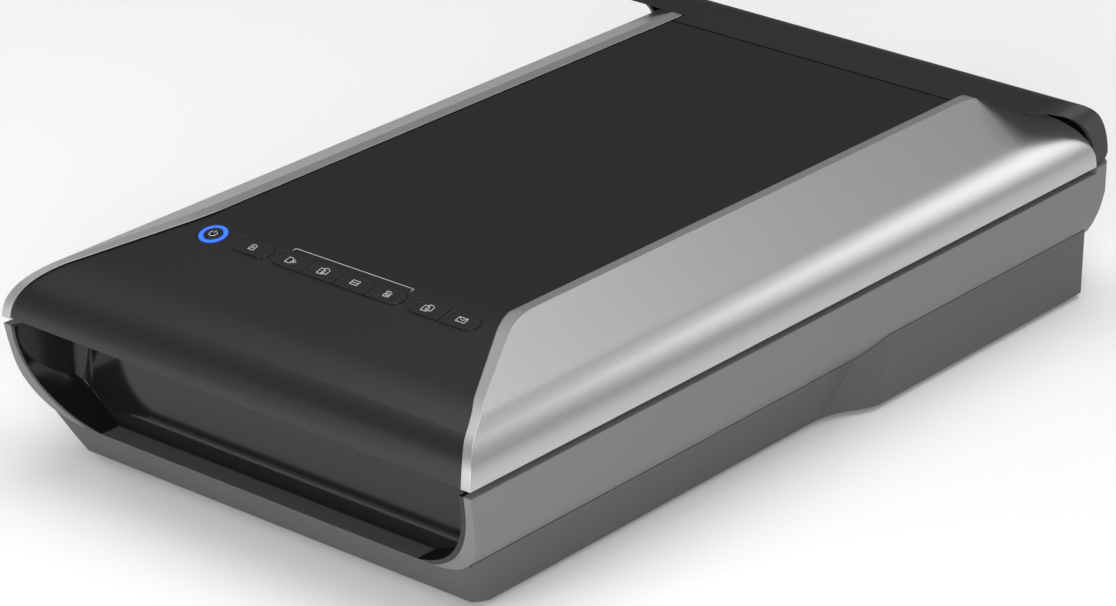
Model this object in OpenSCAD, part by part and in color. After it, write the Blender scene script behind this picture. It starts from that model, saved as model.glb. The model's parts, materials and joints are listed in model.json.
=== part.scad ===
// Flatbed scanner with a film lamp in its lid and two telescopic hinge legs.
// +X is right, +Y is the rear, +Z is up. The origin is the middle of the footprint, on the desk.

/* [Overall size] */
// Width across the case
case_w = 272; // [264:1:330]
// Length of the case, front to rear
case_l = 484; // [476:1:600]
// Height of the base's rim above the desk
base_h = 68.5; // [66:0.5:84]
// Height of the closed lid's shell
lid_h = 36.9; // [32:0.5:45]
// Open groove between the base and the lid
groove_h = 3.5; // [2.5:0.5:5]
// Height of the rubber feet
foot_h = 3; // [2:0.5:4]
// Wall of the moulded cases
wall = 2.5; // [1.8:0.1:3.2]

/* [Base shape] */
// Radius of the tub's lower side corners
tub_r = 31.2; // [24:0.1:34]
// Height of the plinth under the tub
plinth_h = 18.4; // [16:0.1:22]
// Inset of the plinth's front half from the side of the case
plinth_inset = 18.3; // [14:0.1:22]
// Inset of the plinth's rear half
plinth_rear_inset = 6; // [3:0.5:10]
// Lean of the plinth's side walls in the front half, degrees
plinth_lean = 14; // [8:1:18]
// Distance from the front where the plinth starts to flare out
flare_start = 264; // [200:1:300]
// Length of the flare
flare_l = 48; // [40:1:70]
// Radius of the plinth's front corners
plinth_corner_r = 13; // [6:0.5:16]
// Radius of the undercut front face
front_sweep_r = 160; // [140:1:200]
// Height of the front face's arc centre over the rim
front_sweep_rise = 27; // [20:1:40]
// Height of the upstand behind the lid
upstand_h = 2.6; // [1:0.1:2.8]
// Radius of the case's rear corners
rear_corner_r = 8; // [4:0.5:12]

/* [Grip recess] */
// Depth of the grip recess behind the lid's nose
scoop_depth = 32.7; // [28:0.1:36]
// Thickness of the scoop's liner
scoop_t = 2; // [1.5:0.1:2.5]
// Radius of the recess's lower corners, seen from the front
scoop_corner_r = 44; // [36:1:48]
// Width of the rim left at each side of the recess
scoop_rim = 6.6; // [5:0.1:9]
// Radius of the fillets at the back of the recess
scoop_fillet_r = 8; // [5:0.5:10]

/* [Platen] */
// Width of the glass
glass_w = 236; // [228:1:238]
// Length of the glass
glass_l = 344; // [340:1:350]
// Thickness of the glass
glass_t = 3; // [2.5:0.1:4]
// Width of the ledge that carries the glass
ledge_w = 6; // [4:0.5:7]
// Thickness of the ledge
ledge_t = 2; // [1.5:0.1:2.5]
// Distance from the lid's nose to the glass
glass_setback = 68; // [66:0.5:72]

/* [Carriage and drive] */
// Length of the carriage along its travel
carriage_l = 74; // [70:1:78]
// Travel of the carriage
carriage_travel = 292; // [280:1:294]
// Radius of the guide rod
rod_r = 4; // [3:0.1:4.5]
// Height of the guide rod's axis over the case's floor
rod_rise = 7.5; // [7.3:0.1:7.8]
// Radius of the bushes on the guide rod
bush_r = 5.6; // [5:0.1:6]
// Gear module
gear_m = 0.8; // [0.8:0.1:0.9]
// Teeth of the motor pinion
pinion_teeth = 16; // [16:1:18]
// Teeth of the reduction gear
gear_teeth = 56; // [50:1:58]
// Thickness of the gears
gear_t = 4; // [3:0.5:4.5]
// Pitch radius of the belt pulleys
belt_r = 6; // [5.5:0.5:7]
// Thickness of the belt
belt_t = 1.2; // [1:0.1:1.6]
// Height of the belt
belt_h = 5; // [4:0.5:5.5]

/* [Lid shape] */
// Radius of the side trims' lower round
trim_r = 26; // [20:0.5:30]
// Inset of the trims' crest from the side of the case
crest_inset = 45.5; // [40:0.5:52]
// Rise of the crest over the black panel
crest_rise = 0.8; // [0.6:0.1:1]
// Width of the bright strip between the crest and the panel's seam
strip_w = 6.2; // [4:0.1:9]
// Inset of the panel's lower edge from the trims' outer face
panel_inset = 5.6; // [5:0.1:7]
// Radius of the panel's flanks under the trims
flank_r = 24; // [18:0.5:28]
// Gap along the seam between the trims and the panel
seam_gap = 0.5; // [0.3:0.1:0.6]
// Thickness of the panel
panel_t = 2.4; // [1.8:0.1:3]
// Radius of the bend from the flat top into the button slope
bend_r = 110; // [80:1:140]
// Angle of the button slope, degrees
button_slope = 13; // [10:0.5:16]
// Radius of the roll under the button slope
roll_r = 100; // [80:1:120]
// Angle where the roll meets the nose, degrees
roll_angle = 25.3; // [22:0.1:30]
// Radius of the nose
nose_r = 20; // [16:0.5:22]
// Length of the rear hinge cover
cover_l = 66.3; // [60:0.1:70]
// Radius of the hinge cover's rear edge
cover_rear_r = 36; // [30:0.5:36]
// Radius of the hinge cover's side edges
cover_side_r = 12; // [6:0.5:16]
// Inset of the hinge cover from the side of the case
cover_inset = 1.5; // [1:0.1:3]

/* [Hinges] */
// Distance of each hinge from the side of the case
hinge_inset = 41; // [36:1:50]
// Width of the hinge legs
leg_w = 20; // [14:1:22]
// Thickness of the hinge legs
leg_t = 8; // [6:0.5:8]
// Length of a leg's straight part
leg_l = 36; // [30:1:38]
// Radius of the hinge pins
pin_r = 2.5; // [2:0.1:2.6]
// Radius of the hinge knuckles
knuckle_r = 4.2; // [4:0.1:4.4]
// Running clearance round a turning pin
pin_clearance = 0.05; // [0.03:0.01:0.08]
// Clearance round a sliding leg, on each side
slide_clearance = 0.3; // [0.2:0.05:0.4]

/* [Buttons] */
// Distance between neighbouring buttons
button_pitch = 18.7; // [16:0.1:19]
// Distance from the middle of the lid to the left end of the four-button group
group_left = 36.2; // [30:0.1:40]
// Width of the single wide button
scan_w = 21.6; // [16:0.1:24]
// Gap between the wide button and the four-button group
scan_gap = 2.4; // [2.2:0.1:6]
// Gap between the four-button group and the pair on its right
copy_gap = 4.4; // [2.2:0.1:6]
// Distance from the power button's middle to the wide button
power_gap = 13.4; // [12:0.1:18]
// Width of the button row, front to rear
button_w = 10.4; // [9:0.1:11]
// Gap round each button
button_gap = 0.25; // [0.2:0.05:0.4]
// Gap between the buttons of one group
divider_gap = 0.6; // [0.4:0.1:0.8]
// Width of the bezel round the buttons
bezel_w = 1.6; // [1.2:0.1:2.2]

/* [Lid lining] */
// Thickness of the document mat
mat_t = 2.9; // [2:0.1:2.9]
// Travel of the document mat to unhook it
mat_travel = 8; // [6:1:9]
// Width of the film window
window_w = 76; // [60:1:80]
// Length of the film window
window_l = 240; // [200:1:250]

/* [Hidden] */
$fn = 72;
eps = 0.01;
far = 700;

// Main planes
hw = case_w / 2;
hl = case_l / 2;
lid_z = base_h + groove_h;
lid_top = lid_z + lid_h;
floor_z = foot_h + wall;
tub_z = foot_h + plinth_h;

// Tub section: lower corner arc and the side that leans out to the rim
tub_c = [hw - tub_r - 1.3, tub_z + tub_r];
tub_v = [hw, base_h] - tub_c;
tub_q = atan2(tub_v[1], tub_v[0]) - acos(tub_r / norm(tub_v));
tub_n = [cos(tub_q), sin(tub_q)];
upstand_y = hl - 14.7;
rear_step_z = tub_z + 20.6;
rear_step = 8.2;
rear_set = 9;
rear_inner_y = hl - rear_set - wall;

// Front face: one arc seen from the side
sweep_c = [-hl + 0.7 + sqrt(pow(front_sweep_r, 2) - pow(front_sweep_rise, 2)), base_h + front_sweep_rise];

// Plinth
front_w = hw - plinth_inset;
rear_w = hw - plinth_rear_inset;
flare_0 = -hl + flare_start;
flare_1 = flare_0 + flare_l;
flare_dx = rear_w + 1.5 - front_w;
flare_r = (pow(flare_l, 2) + pow(flare_dx, 2)) / (4 * flare_dx);
flare_angle = asin(flare_l / 2 / flare_r);
parting = 0.15;

// Grip recess
scoop_y = -hl + scoop_depth;
scoop_top_w = hw - scoop_rim;
scoop_c = [scoop_top_w - scoop_corner_r, tub_z - 0.7 + scoop_corner_r];
scoop_taper = 8;

// Platen
glass_y0 = -hl + glass_setback;
glass_yc = glass_y0 + glass_l / 2;
glass_z = base_h - glass_t;
ledge_z = glass_z - ledge_t;
fit = 0.2;

// Carriage
carriage_w = glass_w - 20;
carriage_y0 = scoop_y + scoop_t + 7.3;
carriage_end = carriage_y0 + carriage_l + carriage_travel;
glass_gap = 4.3;
carriage_top = glass_z - glass_gap;
pad_t = 1.4;
pad_gap = 0.1;
cover_t = 1.6;
carriage_z = floor_z + 12.5;
carriage_wall = 2;
rod_z = floor_z + rod_rise;
slit_y = carriage_y0 + 20;
rail_x = carriage_w / 2 - 13;

// Drive
gear_x = -60;
gear_y = carriage_end + 34.5;
gear_r = gear_m * gear_teeth / 2;
pinion_r = gear_m * pinion_teeth / 2;
gear_gap = 0.12;
pinion_x = gear_x - gear_r - pinion_r - gear_gap;
gear_z = floor_z + 10;
belt_z = floor_z + 3;
axle_r = 1.5;
motor_r = 17.5;
motor_z = gear_z + gear_t + 2.5;
bracket_t = 1.5;
idler_y = carriage_y0 + 8;
clamp_y = carriage_y0 + 56;

// Lid sections
trim_c = [hw - trim_r, lid_z + 0.5];
crest = [hw - crest_inset, lid_top + crest_rise];
flank_c = [hw - panel_inset - flank_r, lid_z + 1.5];
seam = [hw - crest_inset - strip_w, lid_top];
strip_edge = seam + [0, 0.3];
panel_rear = hl - cover_l - 2;
trim_foot_y = upstand_y - 0.4;
trim_end_h = lid_h + crest_rise;

// Lid front profile: nose, roll, button slope and bend
nose_c = [-hl + crest_rise + nose_r, lid_z + 0.1];
roll_c = nose_c + (roll_r - nose_r) * [sin(roll_angle), -cos(roll_angle)];
slope_0 = roll_c + roll_r * [-sin(button_slope), cos(button_slope)];
slope_z = lid_top - bend_r * (1 - cos(button_slope));
slope_y = slope_0[0] + (slope_z - slope_0[1]) / tan(button_slope);
bend_c = [slope_y + bend_r * sin(button_slope), lid_top - bend_r];

// Hinge
hinge_x = hw - hinge_inset;
axis_y = hl - 8.3;
axis_z = lid_z + 5.5;
leg_y = hl - 21;
leg_top = base_h - 2.5;
hood_rear = hl - 3.1;
sleeve_t = 1.6;
notch_w = leg_w + 6.4;

// Buttons
board_drop = 8.9;
flange_drop = 2.1;

// Electronics at the rear, transport lock and feet
board_z = floor_z + 2;
board_t = 1.6;
board_y1 = rear_inner_y - 2;
usb_x = 38;
socket_z = board_z + board_t;
socket_h = 10.6;
jack_x = 64;
jack_z = socket_z + 5;
lock_x = 70;
lock_y = carriage_y0 + 44;
foot_spots = [[hw - 36, -hl + 52], [hw - 24, hl - 37]];

// Screws
screw_r = 1.5;
screw_x = hw - 23;
screw_ys = [carriage_y0 + 12, carriage_y0 + 190, carriage_end + 2.5];
lid_screw_x = 70;
lid_screw_ys = [slope_y + 52, slope_y + 190, slope_y + 320];

// ---------- helpers ----------

module along_y(y0, y1) translate([0, y1, 0]) rotate([90, 0, 0]) linear_extrude(y1 - y0) children();
module along_x(x0, x1) translate([x0, 0, 0]) rotate([90, 0, 90]) linear_extrude(x1 - x0) children();
module both_sides() {
    children();
    mirror([1, 0, 0]) children();
}
module block(x0, x1, y0, y1, z0, z1) translate([x0, y0, z0]) cube([x1 - x0, y1 - y0, z1 - z0]);
module tube(r, bore, h) difference() {
    cylinder(r = r, h = h);
    translate([0, 0, -1]) cylinder(r = bore, h = h + 2);
}
module rounded(w, l, r) {
    square([w - 2 * r, l], center = true);
    square([w, l - 2 * r], center = true);
    for (x = [-1, 1], y = [-1, 1]) translate([x * (w / 2 - r), y * (l / 2 - r)]) circle(r);
}
function flip(p) = [-p[0], p[1]];
function toward(c, r, a) = c + r * [cos(a), sin(a)];

// Band of a disc between two directions, from its edge inward
module round_edge(c, r, a0, a1, depth) intersection() {
    translate(c) circle(r);
    polygon([toward(c, r - depth, a0), toward(c, 2 * r, a0), toward(c, 3 * r, (a0 + a1) / 2),
        toward(c, 2 * r, a1), toward(c, r - depth, a1)]);
}

// ---------- base outline ----------

// The tub's section in XZ without its round corners, moved in by t
module tub_section(t) {
    top = base_h + upstand_h + 1;
    r = tub_r - t;
    side = tub_c + r * tub_n;
    edge = [(tub_n * tub_c + r - tub_n[1] * top) / tub_n[0], top];
    low = tub_c - [0, r];
    polygon([flip(low), low, side, edge, flip(edge), flip(side)]);
}

// Side view of the base in YZ, moved in by t
module base_side(t) {
    top = base_h + upstand_h;
    polygon([[sweep_c[0], 0], [hl - rear_set - t, 0], [hl - rear_set - t, foot_h],
        [hl - rear_step - t, rear_step_z], [hl - t, top], [sweep_c[0], top]]);
    intersection() {
        translate(sweep_c) circle(front_sweep_r - t);
        translate([-hl - 5, 0]) square([sweep_c[0] + hl + 25, top]);
    }
}

// Plan with round rear corners on a body of half-width w that ends at y, moved in by t
module base_plan(w, y, t) {
    r = rear_corner_r - t;
    translate([-hw - 3, -hl - 5]) square([2 * hw + 6, y + hl + 5 - r - t]);
    translate([-w + t + r, -hl - 5]) square([2 * (w - t - r), y + hl + 5 - t]);
    for (s = [-1, 1]) translate([s * (w - t - r), y - t - r]) circle(r);
}

// Solid that a section along the case and a side view have in common
module crossed(y0, y1) intersection() {
    along_y(y0, y1) children(0);
    along_x(-hw - 3, hw + 3) children(1);
}

module tub(t, top) intersection() {
    union() {
        crossed(-hl - 5, hl + 5) {
            tub_section(t);
            base_side(t);
        }
        both_sides() crossed(-hl - 5, hl + 5) {
            round_edge(tub_c, tub_r - t, -90, tub_q, tub_r / 2);
            base_side(t);
        }
    }
    translate([0, 0, foot_h]) linear_extrude(top - foot_h) base_plan(hw, hl, t);
}

// A plinth section with side walls that lean out by an angle from their lower edge
module plinth_section(w, lean, z0, t) {
    low = [w - t / cos(lean) + (z0 - foot_h) * tan(lean), z0];
    high = [w - t / cos(lean) + 50 * tan(lean), foot_h + 50];
    polygon([flip(low), low, high, flip(high)]);
}

// Plan that limits the wide rear half: an S curve of two arcs on each side
module flare_half(t) {
    r_out = flare_r - t;
    mid = [front_w + flare_dx / 2 - t * cos(flare_angle), (flare_0 + flare_1) / 2 + t * sin(flare_angle)];
    translate([-eps, -hl]) square([front_w - t, 2 * hl]);
    translate([-eps, flare_1]) square([rear_w + 1.5 - t, hl - flare_1]);
    intersection() {
        translate([rear_w + 1.5 - flare_r, flare_1]) circle(r_out);
        translate([0, mid[1]]) square([rear_w + 2, flare_1 - mid[1] + eps]);
    }
    difference() {
        translate([-eps, flare_0 - eps]) square([mid[0], mid[1] - flare_0 + 2 * eps]);
        translate([front_w + flare_r, flare_0]) circle(flare_r + t);
    }
}

// Cutter for a round corner where the front face meets the plinth's side
module plinth_corner_cut(r) {
    y_low = sweep_c[0] - sqrt(pow(front_sweep_r, 2) - pow(sweep_c[1] - foot_h, 2));
    y_high = sweep_c[0] - sqrt(pow(front_sweep_r, 2) - pow(sweep_c[1] - tub_z, 2));
    lean = atan((y_low - y_high) / plinth_h * cos(plinth_lean));
    translate([front_w - r, y_low + r, foot_h]) rotate([lean, plinth_lean, 0]) translate([0, 0, -12])
        linear_extrude(50) difference() {
            translate([0, -r - 12]) square([r + 12, r + 12]);
            circle(r);
        }
    block(front_w + 4.3, hw, -hl, -hl + 17.5, tub_z + 5.6, base_h);
}

module plinth(t, z0) difference() {
    intersection() {
        union() {
            along_y(-hl, hl) plinth_section(front_w, plinth_lean, z0, t);
            intersection() {
                along_y(-hl, hl) plinth_section(rear_w, 1.6, z0, t);
                linear_extrude(base_h) union() {
                    flare_half(t);
                    mirror([1, 0]) flare_half(t);
                }
            }
        }
        along_x(-hw, hw) base_side(t);
        linear_extrude(base_h) base_plan(rear_w + 1, hl - rear_step, t);
    }
    both_sides() plinth_corner_cut(plinth_corner_r - t);
}

// Space of the grip recess, grown by g for the liner's outside
module recess(g) {
    low = scoop_c[1] - scoop_corner_r - g;
    r = scoop_fillet_r + g;
    back = scoop_y + g;
    w = scoop_top_w + g;
    intersection() {
        along_y(-hl - 8, back) union() for (s = [0, 1]) mirror([s, 0]) {
            translate([-eps, low]) square([scoop_c[0], 100]);
            translate([-eps, scoop_c[1]]) square([w, 60]);
            intersection() {
                translate(scoop_c) circle(scoop_corner_r + g);
                translate([scoop_c[0] - 1, low]) square([scoop_corner_r + g + 1, scoop_corner_r + g]);
            }
        }
        along_x(-hw, hw) union() {
            translate([-hl - 8, low]) square([back + hl + 8 - r, 100]);
            translate([-hl - 8, low + r]) square([back + hl + 8, 100]);
            translate([back - r, low + r]) circle(r);
        }
        linear_extrude(2 * base_h) union() for (s = [0, 1]) mirror([s, 0]) {
            polygon([[-eps, -hl - 8], [w + 2, -hl - 8], [w, -hl + 3], [w - scoop_taper, back - r],
                [w - scoop_taper - r, back],
                [-eps, back]]);
            translate([w - scoop_taper - r, back - r]) circle(r);
        }
    }
}

// ---------- base pieces ----------

module upper_case() color([0.30, 0.30, 0.31]) {
    difference() {
        union() {
            difference() {
                union() {
                    tub(0, base_h);
                    intersection() {
                        tub(0, base_h + upstand_h);
                        block(-hw, hw, upstand_y, hl, base_h - 5, base_h + 10);
                    }
                }
                difference() {
                    tub(wall, base_h - wall);
                    recess(scoop_t + 1.5);
                }
                block(-front_w + 3.7, front_w - 3.7, scoop_y, rear_inner_y, foot_h, tub_z + 4.6);
                both_sides() block(front_w - 4, hw, flare_0, rear_inner_y, foot_h, tub_z + 4.6);
            }
            translate([0, glass_yc, ledge_z]) linear_extrude(base_h - wall - ledge_z)
                rounded(glass_w + 2 * wall, glass_l + 2 * wall, 3);
            for (y = screw_ys) both_sides() translate([screw_x, y, floor_z + 4.5])
                cylinder(r = 3.5, h = base_h - floor_z - 5);
        }
        recess(scoop_t + fit);
        translate([0, glass_yc, glass_z]) linear_extrude(glass_t + 1)
            rounded(glass_w + 2 * fit, glass_l + 2 * fit, 2);
        translate([0, glass_yc, ledge_z - 1]) linear_extrude(glass_t + ledge_t)
            rounded(glass_w - 2 * ledge_w, glass_l - 2 * ledge_w, 2);
        both_sides() block(hinge_x - leg_w / 2 - 0.6, hinge_x + leg_w / 2 + 0.6, leg_y - 0.6,
            leg_y + leg_t + 0.6,
            base_h - 10, base_h + 10);
        for (y = screw_ys) both_sides() translate([screw_x, y, floor_z]) cylinder(r = screw_r, h = 18);
    }
}

module floor_boss() tube(3.5, screw_r + 0.2, 5);

module bottom_case() color([0.25, 0.25, 0.26]) difference() {
    union() {
        difference() {
            plinth(0, foot_h);
            difference() {
                plinth(wall, floor_z);
                block(-hw, hw, -hl - 5, scoop_y + scoop_t + 3, tub_z - scoop_t - 2.7, base_h);
            }
            tub(-parting, base_h);
        }
        for (y = screw_ys) both_sides() translate([screw_x, y, floor_z - 0.5]) floor_boss();
        for (x = [-18, 100], y = [gear_y - 18, gear_y + 20]) translate([x, y, floor_z - 0.5])
            cylinder(r = 3, h = board_z - floor_z + 0.5);
    }
    for (y = screw_ys) both_sides() translate([screw_x, y, foot_h - 1]) {
        cylinder(r = screw_r + 0.2, h = 10);
        cylinder(r = 3.2, h = 3);
    }
    for (p = foot_spots) both_sides() translate([p[0], p[1], foot_h - 1]) cylinder(r = 8.1, h = 2);
    block(lock_x - 13, lock_x + 13, lock_y - 5, lock_y + 5, 0, floor_z + 1);
    block(usb_x - 6.3, usb_x + 6.3, hl - 20, hl, socket_z - 0.3, socket_z + socket_h + 0.3);
    translate([jack_x, hl - 20, jack_z]) rotate([-90, 0, 0]) cylinder(r = 4.6, h = 20);
}

module front_grip_scoop() color([0.05, 0.05, 0.06]) intersection() {
    difference() {
        recess(scoop_t);
        recess(0);
    }
    tub(-0.05, base_h);
}

module platen_glass() color([0.75, 0.85, 0.85, 0.4]) translate([0, glass_yc, glass_z])
    linear_extrude(glass_t) rounded(glass_w, glass_l, 1.8);

module calibration_strip() color("white")
    block(-glass_w / 2 + ledge_w + 1, glass_w / 2 - ledge_w - 1, glass_y0 + ledge_w + 1,
        glass_y0 + ledge_w + 11,
        glass_z - 0.8, glass_z);

rod_y0 = carriage_y0 - 4;
rod_y1 = carriage_end + 9;

module guide_rod() color([0.8, 0.8, 0.82]) translate([0, rod_y0, rod_z]) rotate([-90, 0, 0])
    cylinder(r = rod_r, h = rod_y1 - rod_y0);

module rod_clips() color([0.12, 0.12, 0.12]) for (y = [rod_y0, rod_y1 - 5]) difference() {
    block(-9, 9, y, y + 5, floor_z, rod_z + 3);
    translate([0, y - 1, rod_z]) rotate([-90, 0, 0]) cylinder(r = rod_r, h = 7);
}

module slide_rails() color([0.7, 0.7, 0.72]) both_sides() {
    block(rail_x - 6, rail_x + 6, rod_y0, rod_y1, floor_z, floor_z + 2);
    block(rail_x - 2, rail_x + 2, rod_y0, rod_y1, floor_z + 2, carriage_z - 4);
}

module main_board() color([0.08, 0.35, 0.16]) {
    difference() {
        block(-22, 104, gear_y - 24, board_y1, board_z, board_z + board_t);
        for (x = [-18, 100], y = [gear_y - 18, gear_y + 20]) translate([x, y, board_z - 1])
            cylinder(r = 1.6, h = 4);
    }
    translate([0, 0, board_z + board_t]) {
        block(-2, 20, gear_y - 14, gear_y + 8, 0, 2.2);
        block(44, 58, gear_y - 12, gear_y + 2, 0, 1.6);
        block(74, 84, gear_y - 14, gear_y + 2, 0, 1.4);
        block(30, 52, gear_y - 23, gear_y - 19, 0, 4);
        for (x = [28, 90]) translate([x, gear_y + 8, 0]) cylinder(r = 4, h = 9);
    }
}

// Square inlet of a USB type B socket, open to the rear
module usb_socket() color([0.75, 0.75, 0.76]) difference() {
    block(usb_x - 6, usb_x + 6, board_y1 - 14, hl - rear_set - wall / 2, socket_z, socket_z + socket_h);
    block(usb_x - 4.8, usb_x + 4.8, board_y1 - 6, hl, socket_z + 1.3, socket_z + 9.3);
}

module power_jack() color([0.1, 0.1, 0.1]) difference() {
    union() {
        block(jack_x - 4.5, jack_x + 4.5, board_y1 - 12, board_y1, socket_z, jack_z + 4);
        translate([jack_x, board_y1 - 12, jack_z]) rotate([-90, 0, 0])
            cylinder(r = 4.3, h = hl - rear_set - wall / 2 - board_y1 + 12);
    }
    translate([jack_x, board_y1 - 8, jack_z]) rotate([-90, 0, 0]) tube(3.1, 0.9, 30);
}

module stepper_motor() color([0.6, 0.6, 0.62]) difference() {
    translate([pinion_x, gear_y, motor_z + bracket_t]) {
        cylinder(r = motor_r, h = 20);
        translate([0, 0, 20]) cylinder(r = motor_r - 2, h = 1.5);
        translate([-6, -motor_r - 2, 4]) cube([12, 5, 8]);
    }
    translate([pinion_x, gear_y, motor_z]) cylinder(r = axle_r + pin_clearance, h = 14);
}

module motor_bracket() color([0.72, 0.72, 0.74]) {
    x0 = pinion_x - motor_r - 2;
    x1 = gear_x + gear_r + 2.6;
    difference() {
        union() {
            block(x0, x1, gear_y - 18, gear_y + 18, motor_z, motor_z + bracket_t);
            block(x0, x0 + bracket_t, gear_y - 12, gear_y + 12, floor_z, motor_z + bracket_t);
            block(x1 - bracket_t, x1, gear_y - 12, gear_y + 12, floor_z, motor_z + bracket_t);
        }
        translate([pinion_x, gear_y, motor_z - 1]) cylinder(r = 5, h = 5);
    }
    translate([gear_x, gear_y, belt_z - 1.5]) cylinder(r = axle_r, h = motor_z - belt_z + 2);
}

module idler_bracket() color([0.12, 0.12, 0.12]) {
    difference() {
        block(gear_x - 9, gear_x + 9, idler_y - 8, idler_y + 13, floor_z, belt_z - 0.8);
        block(gear_x - 2, gear_x + 2, idler_y + 5, idler_y + 10, floor_z - 1, belt_z);
    }
    block(gear_x - 4, gear_x + 4, idler_y + 11, idler_y + 13, belt_z - 0.8, belt_z + 4.5);
    block(gear_x - 4, gear_x + 4, idler_y + 29, idler_y + 31, floor_z, belt_z + 4.5);
    translate([gear_x, idler_y, belt_z - 1]) cylinder(r = axle_r, h = belt_h + 5);
}

// Points of a round wire that runs along a helix
function helix(turns, r, l, a) = [r * cos(a * turns), l * a / 360, r * sin(a * turns)];
function coil_point(turns, r, wire, l, a, b) =
    helix(turns, r, l, a) + wire * (cos(b) * [cos(a * turns), 0, sin(a * turns)] + sin(b) * [0, 1, 0]);

module coil(turns, r, wire, l) {
    steps = turns * 12;
    sides = 8;
    points = [for (i = [0 : steps], j = [0 : sides - 1])
        coil_point(turns, r, wire, l, 360 * i / steps, 360 * j / sides)];
    walls = [for (i = [0 : steps - 1], j = [0 : sides - 1])
        [i * sides + j, i * sides + (j + 1) % sides, (i + 1) * sides + (j + 1) % sides, (i + 1) * sides + j]];
    polyhedron(points, concat(walls, [[for (j = [sides - 1 : -1 : 0]) j]],
        [[for (j = [0 : sides - 1]) steps * sides + j]]), convexity = 10);
}

module idler_spring() color([0.8, 0.8, 0.82])
    translate([gear_x, idler_y + 13.4, belt_z + 1.8]) coil(6, 2, 0.4, 15.2);

module belt_loop(r) {
    for (y = [idler_y, gear_y]) translate([gear_x, y]) circle(r);
    translate([gear_x - r, idler_y]) square([2 * r, gear_y - idler_y]);
}

module drive_belt() color([0.06, 0.06, 0.06]) translate([0, 0, belt_z]) linear_extrude(belt_h) difference() {
    belt_loop(belt_r + belt_t / 2);
    belt_loop(belt_r - belt_t / 2);
}

module hinge_sleeves() color([0.1, 0.1, 0.1]) both_sides() {
    in_x = leg_w / 2 + slide_clearance;
    in_y = slide_clearance;
    difference() {
        block(hinge_x - in_x - sleeve_t, hinge_x + in_x + sleeve_t, leg_y - in_y - sleeve_t,
            leg_y + leg_t + in_y + sleeve_t, leg_top - leg_l - 4, base_h - wall);
        block(hinge_x - in_x, hinge_x + in_x, leg_y - in_y, leg_y + leg_t + in_y, leg_top - leg_l - 2,
            base_h);
    }
}

module ribbon_cable_run() color([0.9, 0.9, 0.88])
    block(33, 47, carriage_y0 + 150, gear_y - 20, floor_z, floor_z + 0.5);

module rubber_feet() color([0.08, 0.08, 0.08]) for (p = foot_spots) both_sides()
    translate([p[0], p[1], 0]) cylinder(r = 8, h = foot_h + 1);

module case_screws() color([0.55, 0.55, 0.57]) for (y = screw_ys) both_sides() translate([screw_x, y,
    foot_h]) {
    difference() {
        cylinder(r = 3, h = 2);
        translate([-1.6, -0.4, -1]) cube([3.2, 0.8, 1.8]);
        translate([-0.4, -1.6, -1]) cube([0.8, 3.2, 1.8]);
    }
    cylinder(r = screw_r, h = 16);
}

// Slider in the floor that pins the carriage for transport
module transport_lock() color([0.75, 0.75, 0.75]) {
    difference() {
        block(lock_x - 12.5, lock_x + 4.5, lock_y - 4.6, lock_y + 4.6, foot_h + 0.4, floor_z + 0.5);
        for (i = [-2 : 2]) block(lock_x - 4.6 + i * 2, lock_x - 3.6 + i * 2, lock_y - 3, lock_y + 3, 0,
            foot_h + 1);
    }
    block(lock_x - 15, lock_x + 7, lock_y - 7, lock_y + 7, floor_z + 0.2, floor_z + 2);
    block(lock_x - 4, lock_x, lock_y - 2, lock_y + 2, floor_z + 1, carriage_z - 0.6);
}

// ---------- carriage ----------

mirrors = [[slit_y, carriage_z + 11, -45], [carriage_y0 + 63, carriage_z + 11, 45],
    [carriage_y0 + 63, carriage_z + 29, -45]];
lens_y = carriage_y0 + 41;
lens_z = carriage_z + 29;

module carriage_frame() color([0.13, 0.13, 0.14]) {
    x = carriage_w / 2;
    difference() {
        union() {
            difference() {
                block(-x, x, carriage_y0, carriage_y0 + carriage_l, carriage_z, carriage_top - cover_t);
                block(-x + carriage_wall, x - carriage_wall, carriage_y0 + carriage_wall,
                    carriage_y0 + carriage_l - carriage_wall, carriage_z + carriage_wall, carriage_top);
            }
            for (y = [carriage_y0 + 6, carriage_y0 + carriage_l - 20])
                block(-9, 9, y, y + 14, rod_z - bush_r - 1, carriage_z + 1);
            both_sides() block(rail_x - 5, rail_x + 5, carriage_y0 + 22, carriage_y0 + 50,
                carriage_z - 4 + pad_gap + pad_t, carriage_z + 1);
            for (s = [-1, 1]) block(lock_x + 3, lock_x + 12, lock_y + s * 3.6 - 1, lock_y + s * 3.6 + 1,
                carriage_z - 4, carriage_z + 1);
        }
        for (y = [carriage_y0 + 5, carriage_y0 + carriage_l - 21]) translate([0, y, rod_z]) rotate([-90,
            0, 0])
            cylinder(r = bush_r, h = 16);
    }
}

module carriage_cover() color([0.1, 0.1, 0.11]) difference() {
    block(-carriage_w / 2, carriage_w / 2, carriage_y0, carriage_y0 + carriage_l, carriage_top - cover_t,
        carriage_top);
    block(-carriage_w / 2 + 4, carriage_w / 2 - 4, slit_y - 3, slit_y + 3, carriage_top - 5,
        carriage_top + 1);
}

module led_light_bar() color([0.95, 0.95, 0.9]) {
    x = carriage_w / 2 - carriage_wall;
    y = slit_y - 10;
    z = carriage_top - cover_t - 8;
    block(-x, x, y - 3, y - 1.4, z, z + 8);
    for (i = [-9 : 9]) block(i * 11 - 2, i * 11 + 2, y - 1.4, y, z + 3, z + 6);
}

module fold_mirrors() color([0.8, 0.85, 0.9]) for (m = mirrors) translate([0, m[0], m[1]])
    rotate([m[2], 0, 0]) cube([carriage_w - 2 * carriage_wall, 14, 2], center = true);

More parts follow.
